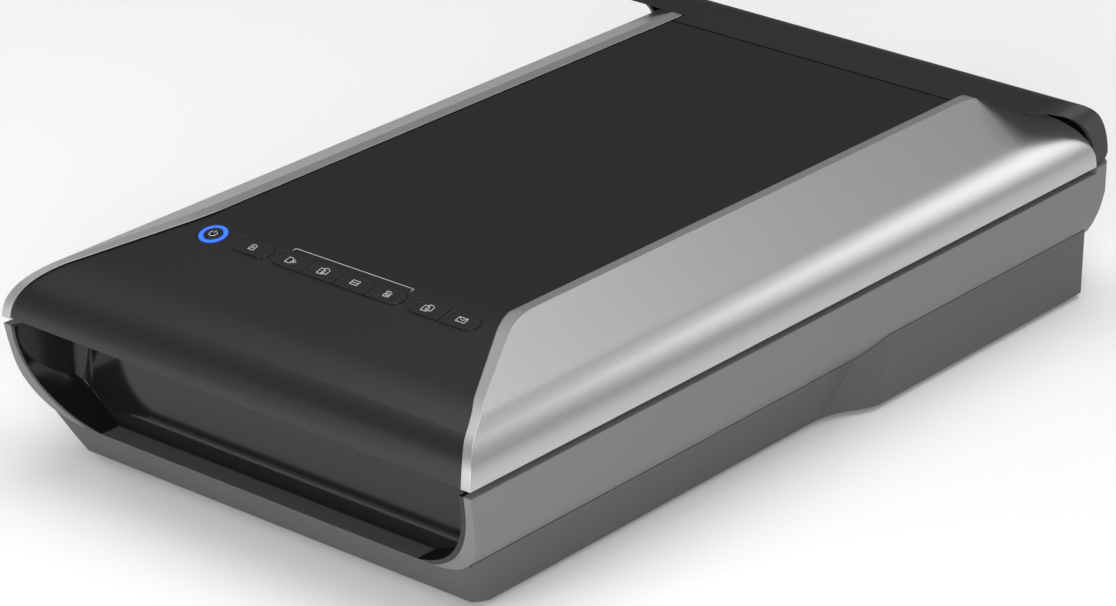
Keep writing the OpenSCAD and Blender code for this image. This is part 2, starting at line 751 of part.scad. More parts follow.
module lens_barrel() color([0.05, 0.05, 0.05]) translate([0, lens_y, lens_z]) rotate([-90, 0, 0]) {
    difference() {
        cylinder(r = 8, h = 12);
        translate([0, 0, -1]) cylinder(r = 5.5, h = 4);
        translate([0, 0, 10.5]) cylinder(r = 5.5, h = 4);
    }
}

module lens_mount() color([0.35, 0.35, 0.36]) difference() {
    union() {
        block(-12, 12, lens_y + 1, lens_y + 11, lens_z - 11, lens_z - 1);
        block(-carriage_w / 2 + 5, carriage_w / 2 - 5, lens_y + 1, lens_y + 11, lens_z - 12.5, lens_z - 10.5);
        both_sides() block(carriage_w / 2 - 7, carriage_w / 2 - 5, lens_y + 1, lens_y + 11,
            carriage_z + carriage_wall, lens_z - 10.5);
    }
    translate([0, lens_y - 1, lens_z]) rotate([-90, 0, 0]) cylinder(r = 8, h = 20);
}

module ccd_board() color([0.08, 0.3, 0.4]) {
    block(-40, 40, lens_y - 11, lens_y - 9.4, lens_z - 12, carriage_top - cover_t);
    block(-22, 22, lens_y - 9.4, lens_y - 6.6, lens_z - 4, lens_z + 4);
    both_sides() block(24, 36, lens_y - 13, lens_y - 11, lens_z - 8, lens_z + 2);
}

module rod_bushes() color([0.75, 0.6, 0.3]) for (y = [carriage_y0 + 6, carriage_y0 + carriage_l - 20])
    translate([0, y, rod_z]) rotate([-90, 0, 0]) tube(bush_r, rod_r + pin_clearance, 14);

module glide_pads() color([0.9, 0.9, 0.88]) both_sides() for (y = [carriage_y0 + 24, carriage_y0 + 38])
    block(rail_x - 4, rail_x + 4, y, y + 10, carriage_z - 4 + pad_gap, carriage_z - 4 + pad_gap + pad_t);

module belt_clamp() color([0.2, 0.2, 0.2]) {
    run_x = gear_x + belt_r;
    difference() {
        block(run_x - 4, run_x + 4, clamp_y - 10, clamp_y + 10, belt_z - 0.5, carriage_z);
        block(run_x - belt_t / 2 - 0.3, run_x + belt_t / 2 + 0.3, clamp_y - 11, clamp_y + 11, belt_z - 1,
            belt_z + belt_h + 0.3);
    }
}

// ---------- drive ----------

// Point on an involute that starts on a base circle of radius rb, unrolled by t degrees
function involute(rb, t) = rb * [cos(t) + t * PI / 180 * sin(t), sin(t) - t * PI / 180 * cos(t)];
function turned(p, a) = [p[0] * cos(a) - p[1] * sin(a), p[0] * sin(a) + p[1] * cos(a)];
function unroll(rb, r) = r <= rb ? 0 : sqrt(pow(r / rb, 2) - 1) * 180 / PI;

// One flank of a tooth, from root to tip, with the tooth centred on +X
function flank(m, teeth, backlash) =
    let (rp = m * teeth / 2, rb = rp * cos(20), tip = rp + 0.8 * m,
        at_pitch = unroll(rb, rp) - atan2(tan(20), 1),
        half = 90 / teeth - backlash / 2 / rp * 180 / PI)
    [for (i = [0 : 4]) let (r = max(rb, rp - 0.8 * m) + (tip - max(rb, rp - 0.8 * m)) * i / 4)
        turned(involute(rb, unroll(rb, r)), -at_pitch - half)];

module gear_outline(m, teeth, backlash) {
    root = m * teeth / 2 - m;
    low = flank(m, teeth, backlash);
    circle(root + eps);
    for (k = [0 : teeth - 1]) rotate(360 * k / teeth) polygon(concat([[root * 0.9, low[0][1]]], low,
        [for (i = [4 : -1 : 0]) [low[i][0], -low[i][1]]], [[root * 0.9, -low[0][1]]]));
}

module motor_pinion() color([0.8, 0.7, 0.4]) translate([pinion_x, gear_y, 0]) {
    translate([0, 0, gear_z - 0.5]) linear_extrude(gear_t + 1) rotate(180 / pinion_teeth)
        gear_outline(gear_m, pinion_teeth, 0.14);
    translate([0, 0, gear_z - 0.5]) cylinder(r = axle_r, h = motor_z - gear_z + 12);
}

module reduction_gear() color([0.9, 0.9, 0.86]) translate([gear_x, gear_y, 0]) difference() {
    union() {
        translate([0, 0, gear_z]) linear_extrude(gear_t) rotate(180) gear_outline(gear_m, gear_teeth, 0.14);
        translate([0, 0, belt_z - 0.3]) cylinder(r = belt_r - belt_t / 2 - 0.05, h = gear_z - belt_z + 1);
        translate([0, 0, belt_z + belt_h + 0.3]) cylinder(r = belt_r + 2, h = gear_z - belt_z - belt_h);
    }
    translate([0, 0, belt_z - 3]) cylinder(r = axle_r + pin_clearance, h = 30);
    for (a = [0 : 60 : 300]) rotate(a) translate([14, 0, gear_z - 1]) cylinder(r = 4, h = gear_t + 2);
}

module idler_pulley() color([0.9, 0.9, 0.86]) translate([gear_x, idler_y, belt_z - 0.5]) difference() {
    union() {
        cylinder(r = belt_r - belt_t / 2 - 0.05, h = belt_h + 2);
        translate([0, 0, belt_h + 0.8]) cylinder(r = belt_r + 1.5, h = 1.2);
    }
    translate([0, 0, -1]) cylinder(r = axle_r + pin_clearance, h = 20);
}

// ---------- hinge legs ----------

module leg_outline() difference() {
    union() {
        polygon([[leg_y, leg_top - leg_l], [leg_y + leg_t, leg_top - leg_l], [leg_y + leg_t,
            base_h + upstand_h + 0.4],
            [axis_y + 2.5, axis_z - 3.4], [axis_y - 2.6, axis_z + 3.3], [leg_y, base_h + 3.5]]);
        translate([axis_y, axis_z]) circle(knuckle_r);
    }
    translate([axis_y, axis_z]) circle(pin_r + pin_clearance);
}

module hinge_legs() color([0.45, 0.45, 0.47]) both_sides()
    along_x(hinge_x - leg_w / 2, hinge_x + leg_w / 2) leg_outline();

// ---------- lid sections ----------

// Angle from the vertical of the normal where a line from p touches the arc at c
function touch_angle(c, r, p) = acos(r / norm(p - c)) - atan2(c[0] - p[0], p[1] - c[1]);

// A lid section in XZ without its round sides: flat top to p, a slope, then the sides, moved in by t
module shoulder(c, r, p, t, z0, middle) {
    a = touch_angle(c, r, p);
    side = c + [r - t, 0];
    foot = [side[0], z0];
    corner = p - t * [tan(a / 2), 1];
    touch = toward(c, r - t, 90 - a);
    polygon(concat([flip(foot), foot, side, touch, corner], middle,
        [flip(corner), flip(touch), flip(side)]));
}

// Solid with a lid section and the lid's side view, moved in by t and raised by rise
module lid_solid(c, r, p, t, rise, y1, z0, middle) {
    crossed(-hl - 5, y1) {
        shoulder(c, r, p, t, z0, middle);
        lid_side(t - rise, y1, z0);
    }
    both_sides() crossed(-hl - 5, y1) {
        round_edge(c, r - t, 0, 90 - touch_angle(c, r, p), (r - t) / 2);
        lid_side(t - rise, y1, z0);
    }
}

// Everything inside the panel's outline, moved in by t, along the whole lid
module under_trims(t) {
    along_y(-hl - 10, hl + 5) shoulder(flank_c, flank_r, seam, t, lid_z - 5, []);
    both_sides() along_y(-hl - 10, hl + 5)
        round_edge(flank_c, flank_r - t, 0, 90 - touch_angle(flank_c, flank_r, seam), flank_r / 2);
}

// Side view of the lid in YZ, moved in by t
module lid_side(t, y1, z0) {
    bend_0 = toward(bend_c, bend_r - t, 90);
    bend_1 = toward(bend_c, bend_r - t, 90 + button_slope);
    roll_0 = toward(roll_c, roll_r - t, 90 + button_slope);
    roll_1 = toward(roll_c, roll_r - t, 90 + roll_angle);
    nose = nose_c - [nose_r - t, 0];
    polygon([[y1, z0], [y1, lid_top - t], bend_0, bend_1, roll_0, roll_1, nose, [nose[0], z0]]);
    round_edge(bend_c, bend_r - t, 90, 90 + button_slope, 10);
    round_edge(roll_c, roll_r - t, 90 + button_slope, 90 + roll_angle, 10);
    round_edge(nose_c, nose_r - t, 90 + roll_angle, 180, nose_r / 2);
}

// ---------- buttons ----------

// Frame of the button row: +Z is the slope's normal, the origin is the row's middle
module on_slope() translate([0, slope_y, slope_z]) rotate([button_slope, 0, 0]) children();

// Ends of the single wide button, the four-button group and the pair
scan_ends = [-group_left - scan_gap - scan_w, -group_left - scan_gap];
middle_ends = [-group_left, -group_left + 4 * button_pitch];
copy_ends = [middle_ends[1] + copy_gap, middle_ends[1] + copy_gap + 2 * button_pitch];
power_x = scan_ends[0] - power_gap;
power_r = button_w / 2 + 1.2;
key_mids = [power_x, (scan_ends[0] + scan_ends[1]) / 2,
    for (i = [0 : 3]) middle_ends[0] + (i + 0.5) * button_pitch,
    for (i = [0 : 1]) copy_ends[0] + (i + 0.5) * button_pitch];

// Capsule between two ends, grown by g
module capsule(ends, g) {
    r = button_w / 2;
    for (x = [ends[0] + r, ends[1] - r]) translate([x, 0]) circle(r + g);
    translate([ends[0] + r, -r - g]) square([ends[1] - ends[0] - 2 * r, 2 * (r + g)]);
}

// Outline of all the button groups, grown by g
module groups_outline(g) {
    translate([power_x, 0]) circle(power_r + g);
    for (ends = [scan_ends, middle_ends, copy_ends]) capsule(ends, g);
}

// Key number i of n in the group between two ends
module key(ends, i, n) {
    w = (ends[1] - ends[0]) / n;
    x0 = i == 0 ? ends[0] - 1.5 : ends[0] + i * w + divider_gap / 2;
    x1 = i == n - 1 ? ends[1] + 1.5 : ends[0] + (i + 1) * w - divider_gap / 2;
    on_slope() {
        translate([0, 0, -4]) linear_extrude(4.3) intersection() {
            capsule(ends, 0);
            translate([x0, -20]) square([x1 - x0, 40]);
        }
        translate([0, 0, -flange_drop - 1]) linear_extrude(0.9) intersection() {
            capsule(ends, 0.9);
            translate([x0, -20]) square([x1 - x0, 40]);
        }
        translate([ends[0] + (i + 0.5) * w, 0, -board_drop + 3.4]) cylinder(r = 2, h = 3);
    }
}

module power_cap() on_slope() translate([power_x, 0, 0]) {
    translate([0, 0, -4]) cylinder(r = button_w / 2 - 0.7, h = 4.3);
    translate([0, 0, -flange_drop - 1]) cylinder(r = button_w / 2 + 0.4, h = 0.9);
    translate([0, 0, -board_drop + 3.4]) cylinder(r = 2, h = 3);
}

module power_button() color([0.12, 0.12, 0.13]) power_cap();
module auto_scan_button() color([0.12, 0.12, 0.13]) key(scan_ends, 0, 1);
module pdf_button_1() color([0.12, 0.12, 0.13]) key(middle_ends, 0, 4);
module pdf_button_2() color([0.12, 0.12, 0.13]) key(middle_ends, 1, 4);
module pdf_button_3() color([0.12, 0.12, 0.13]) key(middle_ends, 2, 4);
module pdf_button_4() color([0.12, 0.12, 0.13]) key(middle_ends, 3, 4);
module copy_button() color([0.12, 0.12, 0.13]) key(copy_ends, 0, 2);
module email_button() color([0.12, 0.12, 0.13]) key(copy_ends, 1, 2);

module button_bezel() color([0.08, 0.08, 0.09]) on_slope() translate([0, 0, -flange_drop])
    linear_extrude(flange_drop - 0.2) difference() {
        union() {
            groups_outline(bezel_w - 0.1);
            translate([power_x, -2.1]) square([copy_ends[0] - power_x + 6, 4.2]);
        }
        groups_outline(button_gap);
    }

module power_light_ring() color([0.2, 0.45, 1]) on_slope() translate([power_x, 0, -flange_drop])
    tube(power_r + button_gap, button_w / 2 - 0.3, flange_drop + 0.1);

module button_board() color([0.08, 0.35, 0.16]) on_slope() {
    translate([power_x - 9, -9, -board_drop]) cube([copy_ends[1] - power_x + 12, 18, 1.4]);
    for (x = key_mids) translate([x, 0, -board_drop + 1.4]) cylinder(r = 2.4, h = 0.9);
    for (x = [power_x - 6, copy_ends[1]]) translate([x, -7, -board_drop + 1.3])
        cylinder(r = 1.6, h = board_drop - panel_t - 1.3);
}

// ---------- lid pieces ----------

module lid_top_panel() color([0.07, 0.07, 0.08]) {
    difference() {
        lid_solid(flank_c, flank_r, seam, 0, 0, panel_rear, lid_z, []);
        lid_solid(flank_c, flank_r, seam, panel_t, 0, panel_rear + 20, lid_z - 5, []);
        on_slope() translate([0, 0, -6]) linear_extrude(12) union() {
            groups_outline(bezel_w);
            translate([power_x, -2.1]) square([copy_ends[0] - power_x + 6, 4.2]);
        }
    }
    for (y = lid_screw_ys) both_sides() translate([lid_screw_x, y, lid_z + frame_t]) difference() {
        cylinder(r = 3.5, h = lid_h - panel_t - frame_t + 0.1);
        translate([0, 0, -1]) cylinder(r = screw_r, h = 12);
    }
}

// Side view of everything ahead of the trims' curved rear ends, moved back by t
module ahead_of_cover(t) polygon(concat([[-hl - 5, 0], [trim_foot_y + t, 0]],
    [for (a = [0 : 10 : 90]) [panel_rear + t + (trim_foot_y - panel_rear) * cos(a),
        lid_z + trim_end_h * sin(a)]],
    [[panel_rear + t, lid_top + 20], [-hl - 5, lid_top + 20]]));

// Pads on the panel's flank that carry a side trim
module trim_pads() for (y = [slope_y + 40 : 60 : panel_rear - 30]) translate([seam[0], y, seam[1]])
    rotate([0, touch_angle(flank_c, flank_r, seam), 0]) translate([6, 0, 0]) cube([6, 20, seam_gap + 0.2]);

module side_trim() {
    trim_pads();
    trim_shell();
}

module trim_shell() intersection() {
    difference() {
        lid_solid(trim_c, trim_r, crest, 0, crest_rise, hl, lid_z, [strip_edge, flip(strip_edge)]);
        under_trims(-seam_gap);
        block(-far, seam[0] + seam_gap, -far, far, 0, far);
    }
    along_x(-hw, hw) ahead_of_cover(0);
}

module right_side_trim() color([0.78, 0.78, 0.79]) side_trim();
module left_side_trim() color([0.78, 0.78, 0.79]) mirror([1, 0, 0]) side_trim();

module cover_section(t) {
    w = hw - cover_inset - t;
    r = cover_side_r - t;
    translate([-w, 0]) square([2 * w, lid_top - t - r]);
    translate([-w + r, 0]) square([2 * (w - r), lid_top - t]);
    for (s = [-1, 1]) translate([s * (w - r), lid_top - t - r]) circle(r);
}

// Side view of the hinge cover: round rear edge, lower corner round the hinge axis
module cover_side(t) {
    c = [hood_rear - cover_rear_r, lid_top - cover_rear_r];
    r = cover_rear_r - t;
    y0 = panel_rear - 20;
    difference() {
        union() {
            polygon([[y0, lid_z], [hood_rear - t, lid_z], toward(c, r, 0), toward(c, r, 90), [y0,
                lid_top - t]]);
            round_edge(c, r, 0, 90, r / 2);
        }
        difference() {
            translate([axis_y, lid_z - 1]) square([10, axis_z - lid_z + 1]);
            translate([axis_y, axis_z]) circle(hood_rear - axis_y - t);
        }
    }
}

module rear_hinge_cover() color([0.09, 0.09, 0.09]) {
    cover_shell();
    both_sides() block(59, 61, panel_rear + 20, frame_y1 - 14, lid_z + frame_t, lid_top - panel_t + 0.5);
}

module cover_shell() difference() {
    intersection() {
        along_y(panel_rear - 20, hl) cover_section(0);
        along_x(-hw, hw) cover_side(0);
    }
    intersection() {
        along_y(panel_rear - 25, hl) cover_section(panel_t);
        union() {
            along_x(-hw, hw) cover_side(panel_t);
            block(-hw, hw, panel_rear - 30, axis_y - 3, lid_z - 5, lid_z + 5);
            block(-hw, hw, panel_rear - 30, panel_rear - 18, lid_z - 5, lid_top - panel_t);
        }
    }
    both_sides() along_x(seam[0], hw + 1) ahead_of_cover(0.5);
    block(-hw, hw, -far, panel_rear + 2, 0, far);
    both_sides() block(hinge_x - notch_w / 2, hinge_x + notch_w / 2, leg_y - 4, hl, lid_z - 5, axis_z + 5.5);
}

frame_w = hw - panel_inset - panel_t - 0.4;
frame_y0 = -hl + crest_rise + panel_t + 1;
frame_t = 2.2;
window_lip = 1;
guide_z = lid_z + window_lip + 2;
frame_y1 = leg_y - 3;
window_yc = glass_yc - 8;
rib_z = base_h + 0.6;
mat_y0 = glass_y0 + 4;
mat_l = glass_l - 8;
mat_w = glass_w - 4;
hook_spots = [[90, glass_y0 + 60], [90, glass_y0 + glass_l - 60]];

module lid_inner_frame() color([0.16, 0.16, 0.17]) difference() {
    union() {
        block(-frame_w, frame_w, frame_y0, frame_y1, lid_z, lid_z + frame_t);
        difference() {
            block(-frame_w, frame_w, frame_y0, panel_rear - 1, lid_z, lid_z + 5);
            block(-frame_w + 1.8, frame_w - 1.8, frame_y0 + 1.8, panel_rear + 5, lid_z, lid_z + 8);
        }
        difference() {
            block(-frame_w + 1, frame_w - 1, scoop_y + 5, frame_y1, rib_z, lid_z + 1);
            block(-frame_w + 3, frame_w - 3, scoop_y + 7, frame_y1 - 2, rib_z - 1, lid_z + 0.5);
        }
        for (x = [-50, 50]) block(x - 1, x + 1, window_yc - window_l / 2, window_yc + window_l / 2, lid_z,
            lid_z + 12);
        both_sides() block(frame_w - 30, frame_w - 28, -hl + 60, panel_rear - 20, lid_z, lid_z + 12);
        difference() {
            block(-frame_w + 3, frame_w - 3, slope_y - 40, slope_y - 38, lid_z, lid_z + 12);
            block(-20, 20, slope_y - 45, slope_y - 30, lid_z + 6, lid_z + 20);
        }
    }
    translate([0, window_yc, lid_z - 1]) linear_extrude(10) rounded(window_w - 6, window_l - 6, 2);
    translate([0, window_yc, lid_z + window_lip]) linear_extrude(10)
        rounded(window_w + 0.4, window_l + 0.4, 2);
    for (y = lid_screw_ys) both_sides() translate([lid_screw_x, y, lid_z - 1]) {
        cylinder(r = screw_r + 0.2, h = 20);
        cylinder(r = 3.2, h = 1.9);
    }
    for (p = hook_spots) both_sides() {
        block(p[0] - 3.4, p[0] + 3.4, p[1] - mat_travel - 3.5, p[1] + 3.5, lid_z - 5, lid_z + 10);
        translate([p[0], p[1] - mat_travel, lid_z - 1]) cylinder(r = 5, h = 12);
    }
}

module film_diffuser() color([0.95, 0.95, 0.92]) translate([0, window_yc, lid_z + window_lip])
    linear_extrude(2) rounded(window_w, window_l, 1.8);

module film_light_guide() color([0.85, 0.92, 0.95]) translate([0, window_yc + 3, guide_z])
    linear_extrude(4) square([window_w - 8, window_l - 16], center = true);

module film_led_strip() color([0.95, 0.95, 0.85]) {
    y = window_yc + 3 - (window_l - 16) / 2;
    block(-window_w / 2 + 4, window_w / 2 - 4, y - 3.4, y - 2, guide_z, guide_z + 4);
    for (i = [-4 : 4]) block(i * 7.4 - 1.6, i * 7.4 + 1.6, y - 2, y - 0.4, guide_z + 0.6, guide_z + 3.4);
}

module film_lamp_housing() color([0.88, 0.88, 0.88]) difference() {
    translate([0, window_yc, lid_z + frame_t]) linear_extrude(guide_z + 6 - lid_z - frame_t)
        rounded(window_w + 8, window_l + 8, 3);
    translate([0, window_yc, lid_z]) linear_extrude(guide_z + 4 - lid_z)
        rounded(window_w + 1, window_l + 1, 2);
}

module hinge_brackets() color([0.72, 0.72, 0.74]) both_sides() {
    for (s = [-1, 1]) {
        x = hinge_x + s * (leg_w / 2 + 1.6);
        along_x(x - 0.8, x + 0.8) difference() {
            union() {
                polygon([[leg_y - 20, lid_z + frame_t], [leg_y - 4, lid_z + frame_t], [axis_y - 1,
                    axis_z - 4],
                    [axis_y, axis_z + 4], [leg_y - 4, axis_z + 10], [leg_y - 20, axis_z + 10]]);
                translate([axis_y, axis_z]) circle(4);
            }
            translate([axis_y, axis_z]) circle(pin_r);
        }
    }
    block(hinge_x - leg_w / 2 - 2.4, hinge_x + leg_w / 2 + 2.4, leg_y - 20, leg_y - 4, axis_z + 8.4,
        axis_z + 10);
    block(hinge_x - leg_w / 2 - 2.4, hinge_x + leg_w / 2 + 2.4, leg_y - 20, leg_y - 4, lid_z + frame_t,
        lid_z + frame_t + 1.6);
}

module hinge_pins() color([0.8, 0.8, 0.82]) both_sides()
    translate([hinge_x - leg_w / 2 - 2.6, axis_y, axis_z]) rotate([0, 90, 0]) cylinder(r = pin_r,
        h = leg_w + 5.2);

module lid_bumpers() color([0.05, 0.05, 0.05]) both_sides() for (y = [scoop_y + 14, glass_y0 + glass_l + 22])
    translate([glass_w / 2 - 2, y, base_h + 0.2]) cylinder(r = 3.5, h = groove_h - 0.2);

module lid_screws() color([0.55, 0.55, 0.57]) for (y = lid_screw_ys) both_sides()
    translate([lid_screw_x, y, lid_z + 0.1]) {
        difference() {
            cylinder(r = 3, h = 0.8);
            translate([-1.6, -0.4, -1]) cube([3.2, 0.8, 1.4]);
        }
        cylinder(r = screw_r, h = 10);
    }

// White-faced pad that hooks into the lid's frame
module document_mat() color([0.93, 0.93, 0.93]) {
    translate([0, mat_y0 + mat_l / 2, lid_z - 0.1 - mat_t]) linear_extrude(mat_t) rounded(mat_w, mat_l, 4);
    for (p = hook_spots) both_sides() translate([p[0], p[1], lid_z - 0.2]) {
        cylinder(r = 3, h = frame_t + 0.6);
        translate([0, 0, frame_t + 0.5]) cylinder(r = 4.5, h = 1);
    }
}

// ---------- show ----------

upper_case();
bottom_case();
front_grip_scoop();
platen_glass();
calibration_strip();
guide_rod();
rod_clips();
slide_rails();
main_board();
usb_socket();
power_jack();
stepper_motor();
motor_bracket();
idler_bracket();
idler_spring();
drive_belt();
hinge_sleeves();
ribbon_cable_run();
rubber_feet();
case_screws();
transport_lock();
carriage_frame();
carriage_cover();
led_light_bar();
fold_mirrors();
lens_barrel();
lens_mount();
ccd_board();
rod_bushes();
glide_pads();
belt_clamp();
motor_pinion();
reduction_gear();
idler_pulley();
hinge_legs();
lid_top_panel();
left_side_trim();
right_side_trim();
lid_inner_frame();
rear_hinge_cover();
film_diffuser();
film_light_guide();
film_led_strip();
film_lamp_housing();
button_board();
button_bezel();
power_light_ring();
hinge_brackets();
hinge_pins();
lid_bumpers();
lid_screws();
document_mat();
power_button();
auto_scan_button();
pdf_button_1();
pdf_button_2();
pdf_button_3();
pdf_button_4();
copy_button();
email_button();
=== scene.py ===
"""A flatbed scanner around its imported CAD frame: materials, printed marks, floor, lights and camera."""

import json
import math

import bpy
from mathutils import Matrix, Vector
from mathutils.bvhtree import BVHTree


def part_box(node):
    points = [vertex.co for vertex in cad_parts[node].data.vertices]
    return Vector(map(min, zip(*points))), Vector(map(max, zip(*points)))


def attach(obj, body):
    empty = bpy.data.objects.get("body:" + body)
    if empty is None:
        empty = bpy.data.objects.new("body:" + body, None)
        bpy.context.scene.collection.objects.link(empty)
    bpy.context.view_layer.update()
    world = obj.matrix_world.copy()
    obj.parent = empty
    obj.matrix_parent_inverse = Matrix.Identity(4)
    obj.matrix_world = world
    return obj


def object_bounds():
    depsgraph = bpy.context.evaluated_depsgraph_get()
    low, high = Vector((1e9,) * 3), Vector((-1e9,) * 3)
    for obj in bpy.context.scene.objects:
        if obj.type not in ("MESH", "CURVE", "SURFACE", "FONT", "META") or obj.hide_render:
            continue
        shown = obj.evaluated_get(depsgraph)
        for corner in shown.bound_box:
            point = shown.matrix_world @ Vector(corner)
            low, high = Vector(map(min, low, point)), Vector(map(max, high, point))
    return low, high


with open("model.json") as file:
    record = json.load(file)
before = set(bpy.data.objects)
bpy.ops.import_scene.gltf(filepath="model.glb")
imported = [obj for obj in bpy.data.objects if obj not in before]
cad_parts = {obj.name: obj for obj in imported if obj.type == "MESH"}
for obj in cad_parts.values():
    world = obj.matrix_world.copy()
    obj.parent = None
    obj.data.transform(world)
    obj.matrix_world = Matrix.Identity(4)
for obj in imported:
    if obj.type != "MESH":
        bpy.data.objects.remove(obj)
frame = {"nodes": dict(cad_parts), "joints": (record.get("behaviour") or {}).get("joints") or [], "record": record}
cad_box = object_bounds()

MM = 0.001
LINE = 0.34 * MM  # width of a printed line
BUMP_STRENGTH = 0.6
BEVEL_SAMPLES = 4
TRACK_COPPER = (0.16, 0.42, 0.18)  # copper under green mask
TRACKS_PER_METRE = 260
FLOOR_HALF = 6  # half the floor's side in metres
WORLD_STRENGTH = 0.1
AIM = (0, 0, 0.06)  # the point that every light faces


# ---------- camera ----------

def add_camera():
    """Camera at the front right, a little above the object."""
    yaw = math.radians(38.943)
    pitch = math.radians(23.768)
    roll = math.radians(0.733)
    forward = Vector((-math.sin(yaw) * math.cos(pitch), math.cos(yaw) * math.cos(pitch), -math.sin(pitch)))
    right = Vector((math.cos(yaw), math.sin(yaw), 0))
    up = right.cross(forward)
    right_rolled = right * math.cos(roll) + up * math.sin(roll)
    up_rolled = up * math.cos(roll) - right * math.sin(roll)
    turn = Matrix((right_rolled, up_rolled, -forward)).transposed().to_4x4()
    data = bpy.data.cameras.new("camera")
    data.sensor_width = 36
    data.lens = 139.44
    data.clip_end = 50
    camera = bpy.data.objects.new("camera", data)
    camera.matrix_world = Matrix.Translation((1.15551, -1.44824, 0.85240)) @ turn
    bpy.context.scene.collection.objects.link(camera)
    bpy.context.scene.camera = camera


# ---------- material parts ----------

class Finish:
    """A Principled material and the nodes that vary it over the surface."""

    def __init__(self, name, color, rough, metallic=0.0):
        self.color = color
        self.material = bpy.data.materials.new(name)
        self.material.use_nodes = True
        self.material.diffuse_color = (*color, 1)
        self.tree = self.material.node_tree
        self.shader = self.tree.nodes["Principled BSDF"]
        self.shader.inputs["Metallic"].default_value = metallic
        self.place = self.node("ShaderNodeTexCoord").outputs["Object"]
        self.rough = rough

    def node(self, kind, **values):
        made = self.tree.nodes.new(kind)
        for key, value in values.items():
            setattr(made, key, value)
        return made

    def link(self, out, socket):
        self.tree.links.new(out, socket)

    def stretched(self, scale):
        """Object coordinates with another scale along each axis."""
        mapping = self.node("ShaderNodeMapping")
        mapping.inputs["Scale"].default_value = scale
        self.link(self.place, mapping.inputs["Vector"])
        return mapping.outputs["Vector"]

    def noise(self, size, detail=4.0, place=None):
        """Noise with features of about that size in metres."""
        made = self.node("ShaderNodeTexNoise")
        made.inputs["Scale"].default_value = 1 / size
        made.inputs["Detail"].default_value = detail
        self.link(place or self.place, made.inputs["Vector"])
        return made.outputs["Fac"]

    def spread(self, value, low, high, low_in=0.3, high_in=0.7):
        made = self.node("ShaderNodeMapRange")
        made.inputs["From Min"].default_value = low_in
        made.inputs["From Max"].default_value = high_in
        made.inputs["To Min"].default_value = low
        made.inputs["To Max"].default_value = high
        self.link(value, made.inputs["Value"])
        return made.outputs["Result"]

    def mixed(self, value, first, second):
        """Colour between two, by a value from 0 to 1."""
        made = self.node("ShaderNodeMix", data_type="RGBA")
        made.inputs[6].default_value = (*first, 1)
        made.inputs[7].default_value = (*second, 1)
        self.link(value, made.inputs[0])
        return made.outputs[2]

    def shade(self, value, amount):
        """Base colour that goes a little darker and lighter with the value."""
        dark = [channel * (1 - amount) for channel in self.color]
        light = [min(1, channel * (1 + amount)) for channel in self.color]
        self.link(self.mixed(self.spread(value, 0, 1), dark, light), self.shader.inputs["Base Color"])

    def roughen(self, value, amount):
        low, high = max(0.02, self.rough - amount), min(1, self.rough + amount)
        self.link(self.spread(value, low, high), self.shader.inputs["Roughness"])

    def relief(self, value, height, edge=0.0):
        """Bump of that height in metres, over edges rounded by that radius."""
        bump = self.node("ShaderNodeBump")
        bump.inputs["Distance"].default_value = height
        bump.inputs["Strength"].default_value = BUMP_STRENGTH
        self.link(value, bump.inputs["Height"])
        if edge:
            rounded = self.node("ShaderNodeBevel", samples=BEVEL_SAMPLES)
            rounded.inputs["Radius"].default_value = edge
            self.link(rounded.outputs["Normal"], bump.inputs["Normal"])
        self.link(bump.outputs["Normal"], self.shader.inputs["Normal"])


def plastic(name, color, rough, grain=0.5 * MM, height=0.03 * MM, edge=0.5 * MM, tint=0.07, metallic=0.0):
    """Moulded plastic or paint: fine grain that also changes the gloss, and soft edges."""
    made = Finish(name, color, rough, metallic)
    fine = made.noise(grain, 2)
    made.shade(fine, tint)
    made.roughen(fine, 0.03)
    made.relief(fine, height, edge)
    return made.material


def gloss(name, color, rough=0.16, edge=0.4 * MM, tint=0.12):
    """Polished plastic: a faint grain and a film of dust that changes the gloss."""
    made = Finish(name, color, rough)
    fine = made.noise(0.4 * MM, 2)
    made.shade(fine, tint)
    made.roughen(made.noise(1.5 * MM, 4), 0.015)
    made.relief(fine, 0.004 * MM, edge)
    return made.material


def brushed(name, color, rough, scale=(1, 40, 40), metallic=1.0, edge=0.3 * MM, tint=0.1, height=0.01 * MM):
    """Metal with fine lines along one axis."""
    made = Finish(name, color, rough, metallic)
    lines = made.noise(9 * MM, 5, made.stretched(scale))
    made.shade(lines, tint)
    made.roughen(lines, 0.07)
    made.relief(lines, height, edge)
    return made.material


def rubber(name, color):
    """Matte rubber with a pebbled skin."""
    made = Finish(name, color, 0.82)
    made.shade(made.noise(5 * MM, 4), 0.2)
    made.roughen(made.noise(3 * MM, 3), 0.08)
    made.relief(made.noise(0.35 * MM, 3), 0.05 * MM, 0.4 * MM)
    return made.material


def clear(name, color, rough=0.02):
    """Clear glass or acrylic with faint wipe marks."""
    made = Finish(name, color, rough)
    made.shade(made.noise(80 * MM, 2), 0.02)
    made.roughen(made.noise(40 * MM, 6, made.stretched((1, 6, 1))), 0.015)
    made.shader.inputs["Transmission Weight"].default_value = 1.0
    made.shader.inputs["IOR"].default_value = 1.5
    return made.material


def circuit(name, color):
    """Circuit board: copper tracks under green mask."""
    made = Finish(name, color, 0.3)
    cells = made.node("ShaderNodeTexVoronoi", feature="F1", distance="CHEBYCHEV")
    cells.inputs["Scale"].default_value = TRACKS_PER_METRE
    made.link(made.place, cells.inputs["Vector"])
    track = made.spread(cells.outputs["Distance"], 0, 1, 0.42, 0.5)
    made.link(made.mixed(track, color, TRACK_COPPER), made.shader.inputs["Base Color"])
    made.roughen(made.noise(3 * MM, 3), 0.06)
    made.relief(track, 0.04 * MM, 0.2 * MM)
    return made.material


